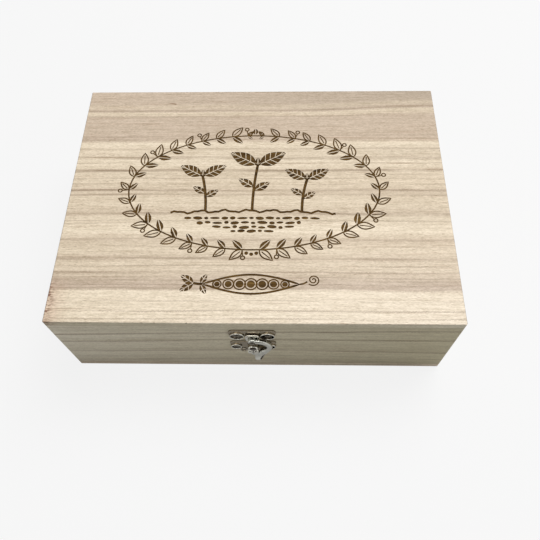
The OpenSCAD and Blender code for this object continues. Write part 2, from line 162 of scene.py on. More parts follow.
class Finish:
    """A Principled material. Its constants go straight on the shader's sockets."""

    def __init__(self, name, constants):
        self.material = bpy.data.materials.new(name)
        self.material.use_nodes = True
        self.tree = self.material.node_tree
        self.shader = self.tree.nodes["Principled BSDF"]
        for socket, value in constants.items():
            self.shader.inputs[socket].default_value = value

    def node(self, kind, settings, values, output=0):
        """Any node: its settings first, then the values or links of its sockets."""
        made = self.tree.nodes.new(kind)
        for key, value in settings.items():
            if key == "stops":
                ramp = made.color_ramp
                while len(ramp.elements) < len(value):
                    ramp.elements.new(1)
                for element, (place, colour) in zip(ramp.elements, value):
                    element.position = place
                    element.color = colour
            else:
                setattr(made, key, value)
        for key, value in values.items():
            if isinstance(value, Wire):
                self.tree.links.new(value.socket, made.inputs[key])
            else:
                made.inputs[key].default_value = value
        return Wire(self, made.outputs[output])

    def place(self):
        """The piece's own x, y and z, in millimetres."""
        where = self.node("ShaderNodeTexCoord", {}, {}, "Object")
        parts = [self.node("ShaderNodeSeparateXYZ", {}, {0: where}, axis) for axis in "XYZ"]
        return [part / MM for part in parts]

    def facing(self, axis):
        """1 on the faces that look along an axis, either way, and 0 on the rest."""
        normal = self.node("ShaderNodeTexCoord", {}, {}, "Normal")
        return self.node("ShaderNodeSeparateXYZ", {}, {0: normal}, axis).size().between(0.75, 0.95)

    def noise(self, x, y, z, detail=2.0):
        """Smooth noise about zero, from about -0.5 to 0.5."""
        where = self.node("ShaderNodeCombineXYZ", {}, {0: x, 1: y, 2: z})
        return self.node("ShaderNodeTexNoise", {}, {"Vector": where, "Scale": 1, "Detail": detail}) - 0.5

    def ramp(self, factor, stops):
        return self.node("ShaderNodeValToRGB", {"stops": stops}, {0: factor})

    def blend(self, factor, first, second, mode="MIX"):
        settings = {"data_type": "RGBA", "blend_type": mode, "clamp_factor": True}
        return self.node("ShaderNodeMix", settings, {0: factor, 6: first, 7: second}, 2)

    def shade(self, colour, change):
        """A colour made darker and warmer, or brighter and cooler, by a change about zero."""
        shares = {0: change * 0.92 + 1, 1: change + 1, 2: change * 1.2 + 1}
        factors = self.node("ShaderNodeCombineXYZ", {}, shares)
        return self.node("ShaderNodeVectorMath", {"operation": "MULTIPLY"}, {0: colour, 1: factors})

    def feed(self, socket, wire):
        self.tree.links.new(wire.socket, self.shader.inputs[socket])

    def bump(self, height, depth, strength):
        values = {"Strength": strength, "Distance": depth * MM, "Height": height}
        self.feed("Normal", self.node("ShaderNodeBump", {}, values))


def tint(red, green, blue):
    """An 8-bit screen colour as the linear colour that a shader takes."""

    def linear(value):
        value /= 255
        return value / 12.92 if value <= 0.04045 else ((value + 0.055) / 1.055) ** 2.4

    return (linear(red), linear(green), linear(blue), 1)


# Wood

cream = tint(240, 224, 198)
pale = tint(229, 212, 186)
beige = tint(217, 199, 174)
mauve = tint(208, 189, 167)
streak_brown = tint(130, 103, 80)
line_brown = tint(150, 110, 72)
fleck_brown = tint(134, 98, 66)
corner_brown = tint(128, 88, 70)
end_brown = tint(176, 150, 122)
edge_shade_grey = tint(232, 236, 232)
olive_white = tint(219, 217, 203)
sanded = {"Specular IOR Level": 0.25}

panel_width = 200
# Slow bands across the lid's top panel, in millimetres from its back edge
panel_bands = [
    (0, mauve), (13, mauve), (16, beige), (21, mauve), (22.5, pale), (26, beige), (27.5, mauve),
    (50, mauve), (53.5, cream), (58, pale), (64, pale), (73, cream), (77, pale), (82, pale), (91, pale),
    (97, beige), (103, pale), (110, pale), (116, beige), (120, pale), (131, cream), (138, beige),
    (146, pale), (153, beige), (158, pale), (165, beige), (172, mauve), (175, mauve), (177.5, cream),
    (200, cream),
]
# Dark streaks across it: millimetres from the back edge, half width, darkness
panel_streaks = [
    (20.2, 1.2, 0.42), (26.7, 0.5, 0.4), (46, 0.5, 0.3), (49, 0.5, 0.3), (58.6, 0.4, 0.4),
    (67.2, 1.8, 0.42), (71.8, 0.5, 0.3), (78.6, 1.5, 0.6), (82.5, 0.5, 0.4), (86, 0.7, 0.45),
    (91, 0.6, 0.35), (96.4, 0.9, 0.6), (100.5, 0.8, 0.35), (117, 1.2, 0.45), (122.5, 0.5, 0.4),
    (138, 1.2, 0.35), (144, 0.4, 0.4), (153, 1.3, 0.45), (158.5, 0.5, 0.45), (163.5, 0.7, 0.5),
    (167, 0.5, 0.4), (169.6, 0.8, 0.5), (172.8, 0.6, 0.4), (175.4, 0.7, 0.45), (184.5, 0.5, 0.3),
    (191.5, 0.6, 0.6), (197, 0.5, 0.4),
]
# Streaks that fade out within a third of the width, from the left end
left_end_streaks = [
    (20.6, 0.6, 0.3), (47, 0.8, 0.5), (50.5, 0.7, 0.4), (66.4, 0.7, 0.5), (79.4, 0.8, 0.5),
    (96.8, 0.7, 0.6), (100.8, 0.5, 0.5), (117.6, 0.5, 0.6), (125, 0.5, 0.4), (151.5, 0.8, 0.3),
    (163.6, 0.6, 0.6), (168.4, 0.5, 0.6), (171.4, 0.5, 0.4), (174.6, 0.6, 0.4), (187, 0.5, 0.3),
]
streaks_per_ramp = 8


def along_panel(places):
    """Places in millimetres across the panel, as the shares of its width that a ramp takes."""
    return [(place / panel_width, value) for place, value in places]


def streak_mask(finish, distance, streaks):
    """How dark the streaks make the wood at a distance across it."""
    mask = 0
    for first in range(0, len(streaks), streaks_per_ramp):
        stops = []
        for place, half, dark in streaks[first:first + streaks_per_ramp]:
            for step, share in ((-1, 0), (-0.35, dark), (0.35, dark), (1, 0)):
                stops.append((place + half * step, (share, share, share, 1)))
        mask = finish.ramp(distance / panel_width, along_panel(stops)) + mask
    return mask


def dress_wood(finish, grain_axis, distance, bands, streaks, tone=1.0, tones=(), stains=()):
    """Bands and streaks across the grain, then strands, flecks, mottling and end grain over them."""
    x, y, z = finish.place()
    along, across, depth = (x, y, z) if grain_axis == "X" else (y, x, z)

    def grain(length, width, detail=2.0):
        return finish.noise(along / length, across / width, depth / width, detail)

    ragged = distance + grain(0.8, 5, 1) * 1.3 + grain(14, 1.8, 1) * 0.8
    colour = finish.ramp(ragged / panel_width, along_panel(bands))
    broken = (grain(40, 3, 3) * 2.4 + 0.62).between(0, 1)
    colour = finish.blend(streak_mask(finish, ragged, streaks) * broken, colour, streak_brown)
    for share, stain in stains:
        colour = finish.blend(share, colour, stain)
    crowd = (grain(90, 8, 1) + 0.5).between(0.35, 0.7)
    line = grain(46, 0.55, 2).between(0.07, 0.24)
    colour = finish.blend(line * (crowd + 0.3) * 0.42, colour, line_brown)
    fleck = grain(3.6, 0.45, 1).between(0.12, 0.26)
    colour = finish.blend(fleck * (crowd + 0.3) * 0.5, colour, fleck_brown)
    speck = grain(1.7, 0.55, 1)
    strand = grain(44, 1.2, 3)
    fibre = grain(7, 0.6, 2)
    mottle = finish.noise(x / 6, y / 3.5, z / 3.5, 2)
    colour = finish.shade(colour, speck * 0.6 + strand * 0.46 + fibre * 0.46 + mottle * 0.2 + (tone - 1))
    colour = finish.blend(finish.facing(grain_axis) * 0.55, colour, end_brown, "MULTIPLY")
    for share, shade in tones:
        colour = finish.blend(share, colour, shade, "MULTIPLY")
    finish.feed("Base Color", colour)
    finish.feed("Roughness", 0.64 + fibre * 0.25)
    finish.bump(fibre + speck * 0.4 - fleck * 0.5, 0.2, 0.35)
    return finish.material


def top_panel_wood():
    """Streaks that rise to the right, a stained front corner and a short dark dash near the back."""
    finish = Finish("wood_lid_top", sanded)
    x, y, z = finish.place()
    sway = finish.noise(x / 120, y / 45, z / 45, 1) * 3 + finish.noise(x / 40, y / 10, z / 10, 1) * 0.8
    rise = x.between(30, 135) * y.between(60, 85) * 4.5
    distance = 100 - y + sway + rise
    hair = finish.noise(x / 22, y / 0.6, z / 0.6, 1) * 0.9
    left_end = streak_mask(finish, distance + hair, left_end_streaks) * x.between(-45, -120)
    blotch = (finish.noise(x / 3, y / 1.1, z / 1.1, 2) + 0.5).between(0.46, 0.62)
    front_corner = x.between(-118, -136) * y.between(-62, -82)
    slant = (y + x * 0.12 - 78.7).size()
    dash = slant.between(0.75, 0.2) * x.between(-74, -67) * x.between(-65.5, -66.3)
    right_shades = [
        (0, tint(219, 219, 218)), (0.055, tint(221, 221, 220)), (0.08, tint(235, 235, 234)),
        (0.13, tint(242, 241, 240)), (0.25, tint(245, 244, 242)), (0.29, tint(240, 240, 240)),
        (0.45, tint(246, 245, 244)), (0.6, tint(245, 245, 245)), (0.7, tint(254, 254, 255)),
        (1, tint(258, 260, 265)),
    ]
    right = finish.ramp(distance / panel_width, right_shades)
    # The panel's front and back edges are multiplied by a cool grey, the same painted shade tint as the
    # front board
    tones = [(finish.facing("Y"), edge_shade_grey), (x / box_width + 0.5, right)]
    stains = [
        (left_end * 0.7, streak_brown), (front_corner * 0.5, tint(206, 172, 148)),
        (front_corner * blotch * x.between(-127, -135), corner_brown), (dash, fleck_brown),
    ]
    return dress_wood(finish, "X", distance, panel_bands, panel_streaks, 1.03, tones, stains)


def front_board_wood_shade_tinted():
    """Cut from one board across the saw cut, with lines that arch towards the middle, in greener, cooler
    tints that paint the colour of the shade on the front.
    """
    finish = Finish("wood_front", sanded)
    x, y, z = finish.place()
    depth = box_top - z
    left = (x / -135).between(-0.15, 1.1) * 6.2
    right = (x / 135).between(-0.1, 1.1) * (depth * 0.2 - 5.4)
    sway = finish.noise(x / 90, z / 30, y / 30, 1) * 2 + finish.noise(x / 26, z / 8, y / 8, 1) * 0.9
    olive = tint(219, 209, 184)
    sand = tint(228, 218, 194)
    shaded = tint(210, 198, 174)
    bands = [
        (0, sand), (8, olive), (12, sand), (14, shaded), (16, sand), (23.5, sand), (25, olive),
        (27, shaded), (29, sand), (42, olive), (46, shaded), (48, sand), (60, olive), (66, shaded),
        (74, sand), (84, olive), (200, sand),
    ]
    streaks = [
        (3.2, 0.5, 0.3), (9.5, 0.4, 0.2), (14.6, 0.9, 0.65), (21, 0.4, 0.2), (27.6, 1, 0.65),
        (36, 0.4, 0.15), (46.8, 0.8, 0.6), (57, 0.5, 0.35), (64, 0.5, 0.25), (70.5, 0.6, 0.6),
        (77, 0.5, 0.4),
    ]
    # Darker and greener towards the right end
    tones = [(x / box_width + 0.5, olive_white)]
    return dress_wood(finish, "X", depth - left - right + sway, bands, streaks, 1.18, tones)


def plain_board_wood(name, grain_axis, offset):
    """Any other board: the same timber as the lid's top, taken from another place across it."""
    finish = Finish(name, sanded)
    x, y, z = finish.place()
    along, across = (x, y) if grain_axis == "X" else (y, x)
    sway = finish.noise(along / 130, across / 40 + offset, z / 40, 1.5) * 14
    sway = sway + finish.noise(along / 30, across / 9, z / 9 + offset, 1) * 1.4
    distance = (z + across * 0.8 + sway + offset).folded(panel_width)
    return dress_wood(finish, grain_axis, distance, panel_bands, panel_streaks)


# Metal

grime_and_shade_brown = tint(66, 58, 48)


def metal(name, colour, dull, roughness, scratch, rub_and_reflection_range=None, grime_and_shade_spots=()):
    """Plated metal with dull patches, both tarnish and painted patchy reflections, and dark spots, both
    grime and painted shade; dull all over where hands don't rub it, which also paints a darker
    reflection there.
    """
    finish = Finish(name, {"Metallic": 1.0})
    x, y, z = finish.place()
    cloud = finish.noise(x / 3, y / 3, z / 3, 3)
    rub = finish.noise(x / 0.5, y / 0.5, z / 6, 2)
    # The cloud's dull patches are tarnish and painted patchy reflections
    bright = (0.68 - cloud * 1.1).between(0, 1)
    if rub_and_reflection_range:
        bright = bright * (y + cloud * 0.3).between(*rub_and_reflection_range)
    shade = finish.blend(bright, tint(*dull), tint(*colour))
    # Each spot blends to a brown that paints grime and shade alike
    for middle_x, middle_z, radius in grime_and_shade_spots:
        aside, above = x - (latch_x + middle_x), z - (seam_z + middle_z)
        away = (aside * aside + above * above).root() + rub * 0.5 + cloud
        shade = finish.blend(away.between(radius - 0.6, radius - 1.2), shade, grime_and_shade_brown)
    finish.feed("Base Color", shade)
    finish.feed("Roughness", roughness + cloud * 0.1 + rub * 0.06)
    finish.bump(rub * 0.4 + cloud, scratch, 0.5)
    return finish.material


def scorched():
    finish = Finish("engraving_burnt", {"Specular IOR Level": 0.1})
    x, y, z = finish.place()
    fibre = finish.noise(x / 14, y / 0.5, z / 0.5, 3)
    patch = finish.noise(x / 9, y / 3, z / 3, 2)
    colour = finish.blend((fibre * 1.8 + 0.5).between(0, 1), tint(70, 49, 21), tint(112, 85, 44))
    colour = finish.blend((patch * 2).between(0, 0.5) * 0.8, colour, tint(38, 24, 9))
    colour = finish.blend((patch * 2).between(-0.15, -0.7) * 0.7, colour, tint(146, 114, 62))
    finish.feed("Base Color", colour)
    finish.feed("Roughness", 0.8 + fibre * 0.2)
    finish.bump(fibre, 0.15, 0.6)
    return finish.material


# Engraving on the lid, cut as V grooves and shallow pockets: a laurel oval round three seedlings
# on a bed of soil, and a pea pod below it

groove_half = 0.5
pocket_depth = 0.35
# Half the width of the midrib that stays between a leaf's pockets
leaf_rib = 0.32


def spun(points, centre, angle):
    """Points turned about the origin and moved to a centre, in millimetres on the lid."""
    turn = Matrix.Rotation(angle, 2)
    return [turn @ Vector(point) + Vector(centre) for point in points]


def leaf_half_width(share, width, belly):
    """Half the width of a leaf at a share of its length; it is widest at the belly."""
    return width / 2 * math.sin(math.pi * share ** (math.log(0.5) / math.log(belly)))


def leaf_edge(length, width, steps=9, belly=0.42):
    """Closed outline of a leaf that lies along +x from the origin."""
    shares = [step / steps for step in range(steps + 1)]
    side = [(length * share, leaf_half_width(share, width, belly)) for share in shares]
    return side[:-1] + [(x, -y) for x, y in side[:0:-1]]


def circle_points(radius, sides, flat=1.0):
    turns = [math.tau * side / sides for side in range(sides)]
    return [(radius * math.cos(turn), radius * flat * math.sin(turn)) for turn in turns]


class Engraving:
    """Cutters for the lid's top: grooves that follow lines, and pockets with an outline."""

    def __init__(self):
        self.lines = bpy.data.curves.new("groove_lines", "CURVE")
        self.lines.dimensions = "3D"
        self.lines.bevel_depth = groove_half * MM
        self.lines.bevel_resolution = 0
        self.lines.use_fill_caps = True
        self.pockets = bmesh.new()

    def groove(self, points, closed=False, weight=1.0):
        spline = self.lines.splines.new("POLY")
        spline.points.add(len(points) - 1)
        for slot, point in zip(spline.points, points):
            slot.co = (point[0] * MM, point[1] * MM, box_top * MM, 1)
            slot.radius = weight
        spline.use_cyclic_u = closed

    def pocket(self, points):
        low = (box_top - pocket_depth) * MM
        ring = [(point[0] * MM, point[1] * MM, low) for point in points]
        drawn_out(self.pockets, ring, (0, 0, 2 * pocket_depth * MM))

    def ring(self, centre, radius, sides, weight):
        self.groove(spun(circle_points(radius, sides), centre, 0), True, weight)

    def dot(self, centre, radius, sides=10, flat=1.0, angle=0.0):
        self.pocket(spun(circle_points(radius, sides, flat), centre, angle))

    def outlined_leaf(self, foot, angle, length, width):
        self.groove(spun(leaf_edge(length, width), foot, angle), True, 1.05)
        self.groove(spun([(length * share, 0) for share in (0.15, 0.5, 0.8)], foot, angle), False, 0.8)

    def filled_leaf(self, foot, angle, length, width, veins=1):
        """Pockets on both sides of a pale midrib, parted by pale veins that slant towards the tip."""
        vein = 0.55 / length
        slant = 0.14
        for side in (-1, 1):
            for step in range(veins):
                last = step == veins - 1
                start = 0.05 + 0.9 * step / veins
                end = 0.05 + 0.9 * (step + 1) / veins - (0 if last else vein)
                outer_start = start + (slant if step else 0)
                outer_end = 0.96 if last else end + slant
                outer = [outer_start + (outer_end - outer_start) * part / 4 for part in range(5)]
                edge = [(length * share, side * leaf_half_width(share, width, 0.42)) for share in outer]
                edge = [point for point in edge if abs(point[1]) > leaf_rib]
                inner = [(length * end, side * leaf_rib), (length * start, side * leaf_rib)]
                self.pocket(spun(edge + inner, foot, angle))

    def bodies(self):
        holder = linked("groove_lines", self.lines)
        grooves = bpy.data.meshes.new_from_object(holder)
        bpy.data.objects.remove(holder)
        bmesh.ops.recalc_face_normals(self.pockets, faces=self.pockets.faces)
        return [grooves, mesh_of("pockets", self.pockets)]


oval_steps = 720
oval_centre = Vector((-2.5, 4))
oval_half = (90, 50)


def oval_places(count):
    """Places at equal steps round the oval, each with the direction that runs along it."""
    turns = [math.tau * step / oval_steps for step in range(oval_steps + 1)]
    loop = [Vector((oval_half[0] * math.sin(turn), -oval_half[1] * math.cos(turn))) for turn in turns]
    run = [0]
    for here, there in zip(loop, loop[1:]):
        run.append(run[-1] + (there - here).length)
    places = []
    for number in range(count):
        wanted = run[-1] * (number + 0.5) / count
        step = next(index for index in range(oval_steps) if run[index + 1] >= wanted)
        places.append((loop[step] + oval_centre, (loop[step + 1] - loop[step]).normalized()))
    return places


def draw_garland(work):
    """Two laurel branches that leave from three berries at the bottom and meet at a bud at the top."""
    sprays = 38
    work.groove([place for place, along in oval_places(120)], True, 1.15)
    lean = math.radians(44)
    for number, (place, along) in enumerate(oval_places(sprays)):
        climbing = 1 if number < sprays / 2 else -1
        heading = math.atan2(along.y, along.x) + (0 if climbing > 0 else math.pi)
        outward = Vector((along.y, -along.x))
        size = 1.1 + 0.15 * math.cos(number * math.tau / sprays * 6)
        if number in (sprays // 2 - 1, sprays // 2):
            size = 0.55
        work.outlined_leaf(place + outward * 0.3, heading - climbing * lean, 9.6 * size, 4.4 * size)
        work.filled_leaf(place - outward * 0.3, heading + climbing * lean, 8.8 * size, 4 * size)
        if number % 3 == 1:
            berry = place + outward * 6.3 - along * climbing * 0.8
            work.groove([place, berry - outward * 1.5], False, 0.8)
            work.ring(berry, 1.4, 12, 0.95)
    middle_x, middle_y = oval_centre
    for side in (-1, 0, 1):
        work.dot((middle_x + side * 3.4, middle_y - oval_half[1] - 3.4 + abs(side) * 0.8), 1.35, 12)
    work.filled_leaf((middle_x, middle_y + oval_half[1] + 1), math.pi / 2, 6.5, 4)


def draw_seedling(work, foot, height, lean, spread):
    """A stem that leans, with a pair of leaves halfway up, a wider pair at the top and a bud."""
    shares = [step / 8 for step in range(9)]
    stem = [Vector((foot[0] + lean * share * share, foot[1] + height * share)) for share in shares]
    work.groove(stem, False, 2.0)
    for step, reach, tilt, veins in ((8, spread, 60, 5), (4, spread * 0.58, 56, 3)):
        for side in (-1, 1):
            angle = math.pi / 2 - side * math.radians(tilt)
            joint = stem[step] + Vector((0, -1.5 * (1 + side) if step < 8 else 0))
            away = Vector((math.cos(angle), math.sin(angle)))
            work.groove([joint, joint + away * reach * 0.12], False, 1.5)
            work.filled_leaf(joint + away * reach * 0.06, angle, reach, reach * 0.5, veins)
    tip = stem[8]
    work.filled_leaf(tip + Vector((0, 0.6)), math.pi / 2, spread * 0.3, spread * 0.16)


def draw_bed(work):
    """The soil that the seedlings grow from: a wavering top line and rows of flat clods under it."""
    middle, level, reach = -2.5, -16, 58
    steps = 48
    ground = []
    for step in range(steps + 1):
        across = -1 + 2 * step / steps
        swell = 0.9 * math.sin(step * 0.9) + 0.5 * math.sin(step * 2.1)
        ground.append((middle + reach * across, level + 1.6 * (1 - across * across) + swell))
    work.groove(ground, False, 1.7)
    for row, (width, drop) in enumerate(((48, 4.4), (39, 8.2), (28, 11.8), (15, 15))):
        x = -width
        number = row
        while x < width - 2:
            half = 2.6 + 1.1 * math.sin(number * 2.4 + row)
            if x + 2 * half < width + 2:
                tall = 1.15 + 0.25 * math.sin(number * 1.7)
                sway = 0.35 * math.sin(number * 3.1 + row)
                place = (middle + x + half, level - drop + sway)
                work.dot(place, half, 14, tall / half, 0.08 * math.sin(number * 5.3))
            x += 2 * half + 1.1
            number += 1


def draw_pod(work, centre, length, width):
    """A pod with its peas, a leafy stalk at the left and a tendril at the right."""
    foot = Vector(centre) - Vector((length / 2, 0))
    work.groove(spun(leaf_edge(length, width, 20, 0.5), foot, 0), True, 1.5)
    peas = 7
    for pea in range(peas):
        share = (pea + 1.3) / (peas + 1.6)
        radius = width * 0.29 * math.sin(math.pi * share) ** 0.5
        place = foot + Vector((length * share, 0))
        work.ring(place, radius, 16, 1.0)
        work.dot(place, radius * 0.68, 14)
    tip = foot + Vector((length, 0))
    work.groove([tip, tip + Vector((2.6, 0.5)), tip + Vector((5, 2))], False, 1.2)
    stalk = foot - Vector((6, -0.6))
    work.groove([foot, foot - Vector((3, -0.1)), stalk], False, 1.9)
    for side in (-1, 1):
        work.filled_leaf(foot + Vector((-1, side * 0.5)), side * math.radians(62), 8, 4.2, 2)
        work.filled_leaf(stalk, math.pi - side * math.radians(34), 11, 5.6, 3)
    curl = []
    for step in range(30):
        turn = step * 0.4
        radius = 4.2 - step * 0.125
        aside, above = radius * math.cos(turn - 2.4), radius * math.sin(turn - 2.4)
        curl.append((tip.x + 9 + aside, tip.y + 3.2 + above))
    work.groove(curl, False, 0.9)


def carve(piece, cutter_mesh):
    """Cuts a mesh out of a piece and keeps the cutter's material in the cut."""
    cutter = linked("cutter", cutter_mesh)
    cut = piece.modifiers.new("carve", "BOOLEAN")
    cut.operation = "DIFFERENCE"
    cut.solver = "EXACT"
    cut.use_self = True
    cut.material_mode = "TRANSFER"
    cut.object = cutter
    whole = bpy.context.evaluated_depsgraph_get()
    carved = bpy.data.meshes.new_from_object(piece.evaluated_get(whole))
    carved.validate()
    piece.modifiers.remove(cut)
    piece.data = carved
    bpy.data.objects.remove(cutter)


def engraved_panel(wood, burnt):
    """A copy of the lid's top panel with the engraving cut into it."""
    work = Engraving()
    draw_garland(work)
    draw_seedling(work, (-36, -15), 31, -4, 19)
    draw_seedling(work, (-3, -14), 40, 3, 23)
    draw_seedling(work, (32, -15), 28, 4, 18)
    draw_bed(work)
    draw_pod(work, (-2, -72), 64, 14)
    nick_in_front_edge = (-42.2, -100.1)
    work.dot(nick_in_front_edge, 0.6)

    shape = welded("lid_top_panel", 0.001)
    nearly_flat = math.radians(0.2)
    bmesh.ops.dissolve_limit(shape, angle_limit=nearly_flat, verts=shape.verts, edges=shape.edges)
    panel = new_piece("engraved_lid_top", shape)
    paint(panel.data, wood)
    for body in work.bodies():
        paint(body, burnt)
        carve(panel, body)
    panel.data.name = "engraved_lid_top"
    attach(panel, "lid")
    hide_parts("lid_top_panel")


# Floor, light and surroundings

background_share = 0.85
background_in_metal = 0.28
# In millimetres: how far the floor goes each way, how deep it lies, and half its hole under the box
floor_reach = 4000
floor_drop = 0.2
floor_hole = (134, 99)


def seen_rays(finish, by_metal=1.0):
    """The share of the white background that a ray meets: all of it, but metal may see less."""
    path = [finish.node("ShaderNodeLightPath", {}, {}, name)
            for name in ("Is Camera Ray", "Is Glossy Ray", "Is Transmission Ray")]
    return path[0].larger(path[1] * by_metal).larger(path[2])


def add_floor():
    """A floor with a hole under the box, so that a view from below shows the underside."""
    shape = bmesh.new()
    corners = [(-1, -1), (1, -1), (1, 1), (-1, 1)]
    outer, inner = [
        [shape.verts.new((x * half_x, y * half_y, -floor_drop)) for x, y in corners]
        for half_x, half_y in ((floor_reach, floor_reach), floor_hole)
    ]
    for side in range(4):
        shape.faces.new((outer[side - 1], outer[side], inner[side], inner[side - 1]))
    bmesh.ops.scale(shape, verts=shape.verts, vec=(MM, MM, MM))
    floor = new_piece("floor", shape)
    pale_grey = (0.6, 0.6, 0.6, 1)
    finish = Finish("floor_white", {"Base Color": pale_grey, "Roughness": 0.9, "Specular IOR Level": 0})
    glow = finish.node("ShaderNodeEmission", {}, {"Color": (1, 1, 1, 1), "Strength": 1.0})
    body = Wire(finish, finish.shader.outputs[0])
    share = seen_rays(finish, background_in_metal) * background_share
    mixed = finish.node("ShaderNodeMixShader", {}, {0: share, 1: body, 2: glow})
    finish.tree.links.new(mixed.socket, finish.tree.nodes["Material Output"].inputs["Surface"])
    paint(floor.data, finish.material)


class Sky(Finish):
    """The world's own node tree, built with the same methods as a finish."""

    def __init__(self, ambient):
        world = bpy.data.worlds.new("studio")
        bpy.context.scene.world = world
        world.use_nodes = True
        self.tree = world.node_tree
        white = (1, 1, 1, 1)
        lit = self.node("ShaderNodeBackground", {}, {"Color": white, "Strength": ambient})
        shown = self.node("ShaderNodeBackground", {}, {"Color": white, "Strength": 1.0})
        mixed = self.node("ShaderNodeMixShader", {}, {0: seen_rays(self), 1: lit, 2: shown})
        self.tree.links.new(mixed.socket, self.tree.nodes["World Output"].inputs["Surface"])


def add_lamp(name, place, size, power):
    """A square soft box aimed at the middle of the box, in metres and watts."""
    data = bpy.data.lights.new(name, "AREA")
    data.shape = "SQUARE"
    data.size = size
    data.energy = power
    lamp = linked(name, data)
    lamp.location = place
    aim = Vector((0, 0, 0.04)) - Vector(place)
    lamp.rotation_euler = aim.to_track_quat("-Z", "Y").to_euler()


def add_card(name, place, size, glow):
    """A studio card aimed at the box that gives its shiny pieces alone a bright or a dark line."""
    shape = bmesh.new()
    bmesh.ops.create_grid(shape, x_segments=1, y_segments=1, size=0.5)
    bmesh.ops.scale(shape, verts=shape.verts, vec=(*size, 1))
    aim = (Vector((0, -0.1, 0.05)) - Vector(place)).to_track_quat("-Z", "Y").to_matrix()
    bmesh.ops.rotate(shape, verts=shape.verts, cent=(0, 0, 0), matrix=aim)
    bmesh.ops.translate(shape, verts=shape.verts, vec=place)
    card = new_piece(name, shape)
    black = {"Base Color": (0.015, 0.014, 0.012, 1), "Roughness": 1.0, "Specular IOR Level": 0}
    if glow:
        black.update({"Emission Color": (1, 1, 1, 1), "Emission Strength": glow})
    paint(card.data, Finish(name, black).material)
    card.visible_camera = False
    card.visible_diffuse = False
    card.visible_shadow = False
    card.visible_transmission = False


# Edges of the CAD nodes that stay


def ease_edges(node, width, segments):
    """Welds the CAD node's loose triangles, rounds its edges and smooths its curved faces."""
    node.data.polygons.foreach_set("use_smooth", [True] * len(node.data.polygons))
    weld = node.modifiers.new("weld", "WELD")
    weld.merge_threshold = 0.002 * MM
    flat = node.modifiers.new("flat_faces", "DECIMATE")
    flat.decimate_type = "DISSOLVE"
    flat.angle_limit = math.radians(0.5)
    bevel = node.modifiers.new("eased_edges", "BEVEL")
    bevel.width = width * MM
    bevel.segments = segments
    bevel.limit_method = "ANGLE"
    bevel.angle_limit = math.radians(35)
    bevel.use_clamp_overlap = True
    shading = node.modifiers.new("even_shading", "WEIGHTED_NORMAL")
    shading.weight = 80


# Latch, in millimetres from its middle line at the height of the saw cut, as seen from the front

latch_x = -1.2
seam_z = 52
rivet_z = 6.8
rivet_hole = 1.25
plate_depth = 0.9
hook_back = 2.75
hook_front = 5.15
# Where the tab starts to curl, from the rivet, and in how many cuts
curl_start = -23.15
curl_radius = 10
curl_cuts = 6
# The beads of both plates, as x, z and radius of the right one of each pair
upper_cup = (10.1, 9.7, 5)
lower_cup = (11.6, -9, 3.9)
pip_cup = (6.9, -15.7, 2.7)
# Round dark spots, as x, z and radius: grime and painted shade in the screw cups, a painted shadow
# beside the right upper cup and a painted dark reflection on the beak of the plates
plate_grime_and_shade = [(side * x, z, radius) for x, z, radius in (upper_cup, lower_cup) for side in (-1, 1)]
plate_grime_and_shade += [(8.2, 8.3, 3.8), (0, -4.8, 3.2), (0, -8.6, 1.8)]
# On the hook: grime round the rivet, and a painted shadow up the right edge of the tab
hook_grime_and_shadow = [
    (0, rivet_z, 2.9), (5.5, -20.7, 2), (5.9, -20, 2), (6.2, -19.3, 2), (6.5, -18.6, 2),
    (6.8, -17.9, 2), (7.2, -17.2, 2), (7.5, -16.5, 1.9), (7.8, -15.8, 1.9), (8.2, -15, 1.8),
]


def arc(centre, radius, start, end, steps=12):
    """Points along an arc, between two angles in degrees."""
    turns = [math.radians(start + (end - start) * step / steps) for step in range(steps + 1)]
    return [(centre[0] + radius * math.cos(turn), centre[1] + radius * math.sin(turn)) for turn in turns]


def mirrored(left):
    """A closed outline from its left half, drawn from the top middle down to the bottom middle."""
    return left + [(-x, z) for x, z in reversed(left)]


def rounded_rectangle(middle, width, height, corner):
    x, z = middle
    across, up = width / 2 - corner, height / 2 - corner
    outline = []
    for start, side, end in ((0, 1, 1), (90, -1, 1), (180, -1, -1), (270, 1, -1)):
        outline += arc((x + side * across, z + end * up), corner, start, start + 90, 10)
    return outline


def slab(shape, outline, back, front, rounding, segments=3):
    """A plate with this outline, between two distances from the wood, with its front edge rounded."""
    edges = drawn_out(shape, [(x, -back, z) for x, z in outline], (0, back - front, 0))
    bmesh.ops.bevel(
        shape, geom=edges, offset=rounding, segments=segments, affect="EDGES", profile=0.5, material=-1,
    )


def cup(shape, side, place, tall=1.0):
    """The bead round a screw or a pip, spun about its own line from a foot inside the plate."""
    foot = 0.7
    profile = [(-0.8, 0), (-0.8, 0.9), (-0.68, 1.15), (-0.4, 1.3), (-0.15, 1.18), (0, 0.9), (0, 0)]
    x, z, radius = place
    x *= side
    points = [shape.verts.new((x + radius + out, -foot - rise * tall, z)) for out, rise in profile]
    edges = [shape.edges.new(pair) for pair in zip(points, points[1:])]
    bmesh.ops.spin(
        shape, geom=points + edges, cent=(x, 0, z), axis=(0, 1, 0), angle=math.tau, steps=48,
        use_merge=True,
    )


def latch_piece(shape, name, replaced, body, material):
    """Moves a finished latch shape to its place on the box, where it stands in for its CAD node, which
    is hidden.
    """
    bmesh.ops.recalc_face_normals(shape, faces=shape.faces)
    bmesh.ops.translate(shape, verts=shape.verts, vec=(latch_x, wood_front, seam_z))
    bmesh.ops.scale(shape, verts=shape.verts, vec=(MM, MM, MM))
    for face in shape.faces:
        face.smooth = True
    piece = new_piece(name, shape)
    paint(piece.data, material)
    shading = piece.modifiers.new("even_shading", "WEIGHTED_NORMAL")
    shading.weight = 80
    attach(piece, body)
    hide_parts(replaced)
    return piece


